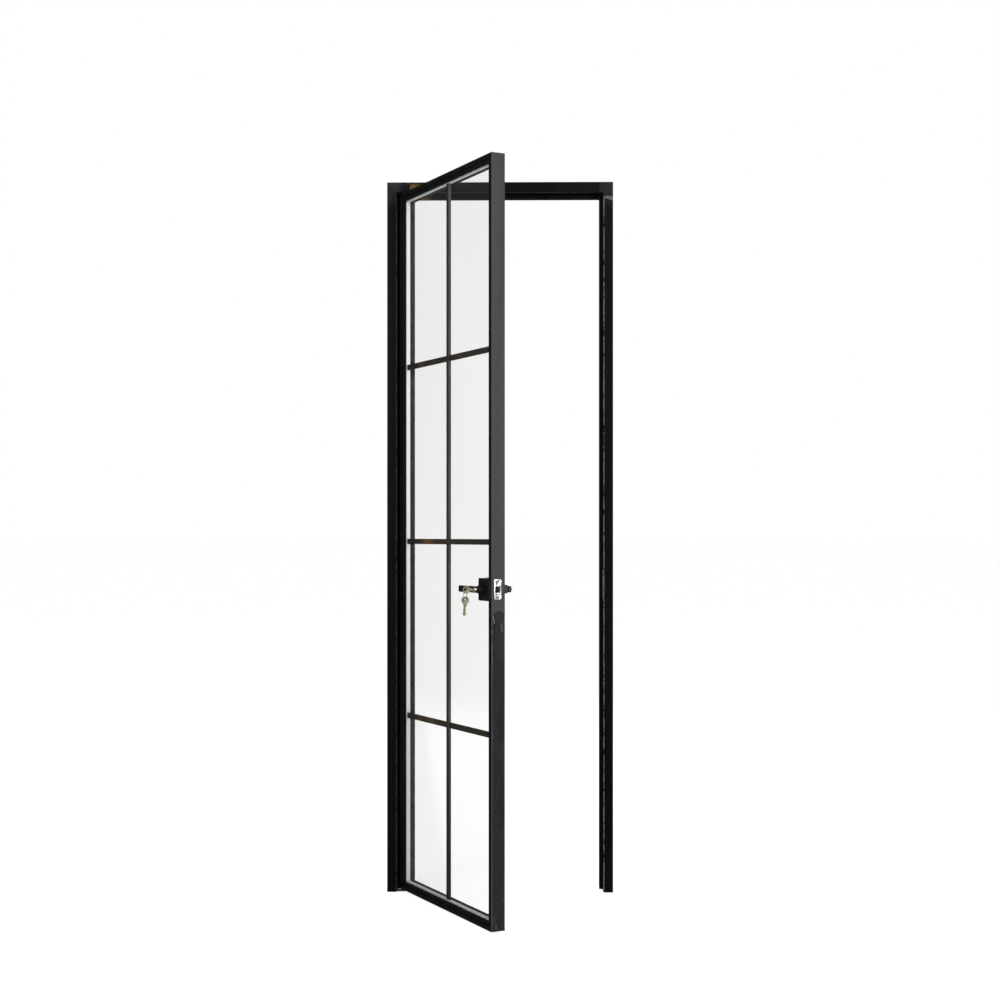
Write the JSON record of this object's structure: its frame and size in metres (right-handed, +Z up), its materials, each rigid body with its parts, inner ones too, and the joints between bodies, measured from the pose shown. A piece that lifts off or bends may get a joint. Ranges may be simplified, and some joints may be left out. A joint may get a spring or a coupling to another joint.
{
  "type": "glazed casement door with frame",
  "caption": "Slim black metal glazed door leaf with bars inside the double glass, standing open in its three-sided frame, with lever lock and keys.",
  "frame": {"origin": "foot of the hinge jamb, on its wall face and its front face, at floor level", "axes": "+X across the frame from the hinge jamb to the lock jamb, -Y toward the side the leaf opens to, +Z up"},
  "size_m": [0.7, 0.6284, 2.2],
  "materials": {
    "black_profile": "black powder coat, satin",
    "mill_aluminium": "mill finish",
    "black_rubber": "matte",
    "black_plastic": "matte",
    "blue_plastic": "matte",
    "pivot_steel": "zinc plated",
    "screw_steel": "zinc plated",
    "bright_steel": "satin stainless",
    "spring_steel": "bright wire",
    "bronze": "turned",
    "front_glass": "polished float glass",
    "back_glass": "polished float glass",
    "spacer_silver": "bright, perforated",
    "sealant": "matte",
    "black_bar": "black powder coat, satin",
    "black_lock": "black powder coat, satin",
    "dark_bolt": "blackened",
    "key_nickel": "nickel silver, satin",
    "dark_key_nickel": "nickel silver, in tone darker",
    "film": "tinted protective film"
  },
  "bodies": {
    "frame": {"hinge_jamb": "black_profile", "lock_jamb": "black_profile", "head": "black_profile", "frame_corner_cleats": "mill_aluminium", "hinge_seal": "black_rubber", "lock_seal": "black_rubber", "head_seal": "black_rubber", "fixing_caps": "black_plastic", "bottom_pivot_arm": "pivot_steel", "bottom_pivot_pin": "bright_steel", "thrust_washer": "bronze", "top_pivot_block": "pivot_steel", "top_pivot_pin": "bright_steel", "pivot_screws": "screw_steel", "strike_plate": "bright_steel", "strike_screws": "bright_steel"},
    "leaf": {"hinge_stile": "black_profile", "lock_stile": "black_profile", "top_rail": "black_profile", "bottom_rail": "black_profile", "leaf_corner_cleats": "mill_aluminium", "hinge_bead": "black_profile", "lock_bead_lower": "black_profile", "lock_bead_upper": "black_profile", "top_bead": "black_profile", "bottom_bead": "black_profile", "front_gasket": "black_rubber", "back_gasket": "black_rubber", "front_pane": "front_glass", "back_pane": "back_glass", "spacer_frame": "spacer_silver", "edge_sealant": "sealant", "vertical_bar": "black_bar", "lower_bar": "black_bar", "middle_bar": "black_bar", "upper_bar": "black_bar", "setting_blocks": "blue_plastic", "bottom_pivot_socket": "pivot_steel", "top_pivot_socket": "pivot_steel", "lock_box": "black_lock", "latch_case": "pivot_steel", "latch_faceplate": "bright_steel", "faceplate_screws": "bright_steel", "front_rose": "black_lock", "back_rose": "black_lock", "rose_screws": "screw_steel", "lever_spring": "spring_steel", "edge_film": "film"},
    "latch": {"latch_bolt": "dark_bolt", "latch_spring": "spring_steel"},
    "levers": {"front_lever": "black_lock", "back_lever": "black_lock", "spindle": "screw_steel", "lock_cylinder": "bright_steel"},
    "plug": {"lock_plug": "key_nickel"},
    "turn": {"thumb_turn": "bright_steel"},
    "key": {"key": "key_nickel"},
    "ring": {"key_ring": "bright_steel"},
    "spare_near": {"spare_key_near": "key_nickel"},
    "spare_far": {"spare_key_far": "dark_key_nickel"}
  },
  "joints": [
    {"name": "leaf_swing", "type": "hinge", "parent": "frame", "child": "leaf", "pos_m": [0.052, 0.008, 0], "axis": [0, 0, -1], "range_deg": [-62, 43]},
    {"name": "lever_turn", "type": "hinge", "parent": "leaf", "child": "levers", "pos_m": [0.33577, -0.49801, 0.955], "axis": [-0.8829, -0.4695, 0], "range_deg": [0, 45], "stiffness_Nm_per_rad": 1.5, "springref_deg": -17.19},
    {"name": "latch_slide", "type": "slide", "parent": "leaf", "child": "latch", "axis": [-0.4695, 0.8829, 0], "range_m": [0, 0.0102]},
    {"name": "plug_turn", "type": "hinge", "parent": "levers", "child": "plug", "pos_m": [0.28456, -0.52524, 0.955], "axis": [-0.8829, -0.4695, 0], "range_deg": [0, 90]},
    {"name": "key_slide", "type": "slide", "parent": "plug", "child": "key", "axis": [-0.8829, -0.4695, 0], "range_m": [0, 0.03]},
    {"name": "ring_swing", "type": "hinge", "parent": "key", "child": "ring", "pos_m": [0.26072, -0.53791, 0.9532], "axis": [0.4695, -0.8829, 0], "range_deg": [-25, 25]},
    {"name": "near_key_swing", "type": "hinge", "parent": "ring", "child": "spare_near", "pos_m": [0.26002, -0.53659, 0.9313], "axis": [0.4695, -0.8829, 0], "range_deg": [-20, 20]},
    {"name": "far_key_swing", "type": "hinge", "parent": "ring", "child": "spare_far", "pos_m": [0.26143, -0.53924, 0.9313], "axis": [0.4695, -0.8829, 0], "range_deg": [-20, 20]},
    {"name": "thumb_turn_turn", "type": "hinge", "parent": "levers", "child": "turn", "pos_m": [0.38168, -0.47359, 0.955], "axis": [-0.8829, -0.4695, 0], "range_deg": [0, 90]}
  ],
  "couplings": [
    {"joint": "latch_slide", "follows": "lever_turn", "m_per_rad": 0.0128}
  ]
}
